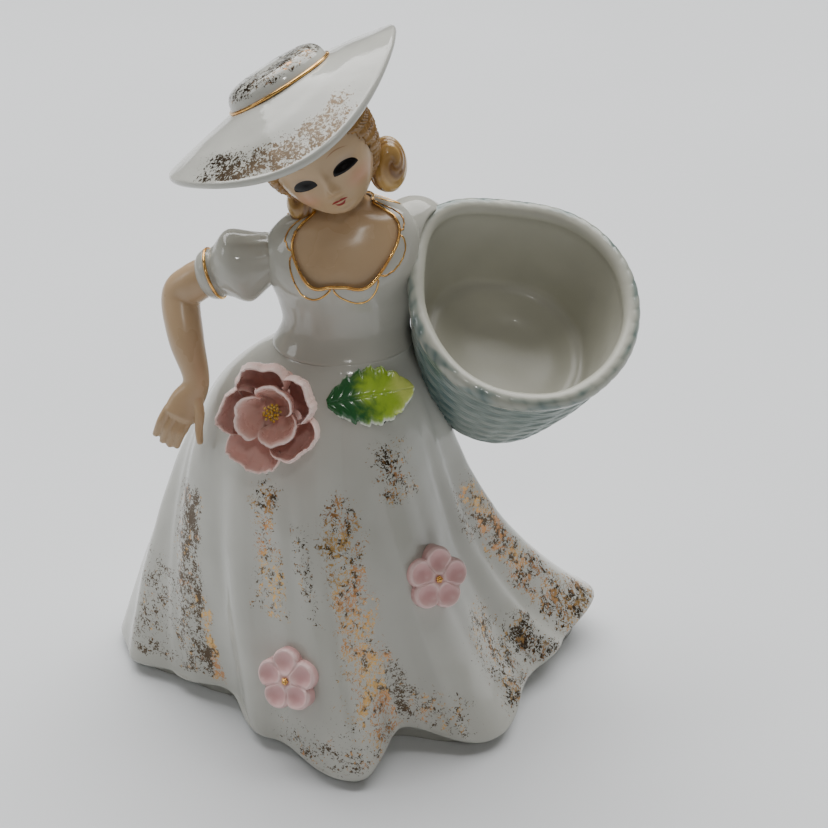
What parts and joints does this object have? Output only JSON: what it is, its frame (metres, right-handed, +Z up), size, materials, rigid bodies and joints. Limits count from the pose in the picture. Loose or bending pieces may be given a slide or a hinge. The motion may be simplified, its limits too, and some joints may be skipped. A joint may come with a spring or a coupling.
{
  "type": "porcelain figurine",
  "caption": "Glazed lady figurine in a spreading crinoline and tilted sun hat, holding a round basket out on one hip, with an open rose, a leaf and blossoms applied to the skirt.",
  "frame": {"origin": "centre of the foot, on the plane it rests on", "axes": "+Z up through the lady, -Y the way she faces the viewer, +X towards her left hand and the basket"},
  "size_m": [0.1091, 0.085, 0.1409],
  "materials": {
    "glaze": "gloss",
    "bare_clay": "matte",
    "skin": "satin",
    "hair": "satin",
    "basket_glaze": "gloss",
    "rose_pink": "satin",
    "stamen_yellow": "satin",
    "leaf_green": "gloss",
    "blossom_pink": "satin",
    "gilding": "polished"
  },
  "bodies": {
    "root": {"skirt": "glaze", "base_plate": "bare_clay", "bodice": "glaze", "chest_and_neck": "skin", "head": "skin", "hair": "hair", "hair_roll_right": "hair", "hair_roll_left": "hair", "hat": "glaze", "sleeve_right": "glaze", "arm_right": "skin", "sleeve_left": "glaze", "arm_left": "skin", "basket": "basket_glaze", "rose_pad": "rose_pink", "rose_petal_1": "rose_pink", "rose_petal_2": "rose_pink", "rose_petal_3": "rose_pink", "rose_petal_4": "rose_pink", "rose_petal_5": "rose_pink", "rose_petal_6": "rose_pink", "rose_petal_7": "rose_pink", "rose_petal_8": "rose_pink", "rose_stamens": "stamen_yellow", "leaf": "leaf_green", "blossom_upper": "blossom_pink", "blossom_lower": "blossom_pink", "bead_upper": "gilding", "bead_lower": "gilding"}
  },
  "joints": []
}
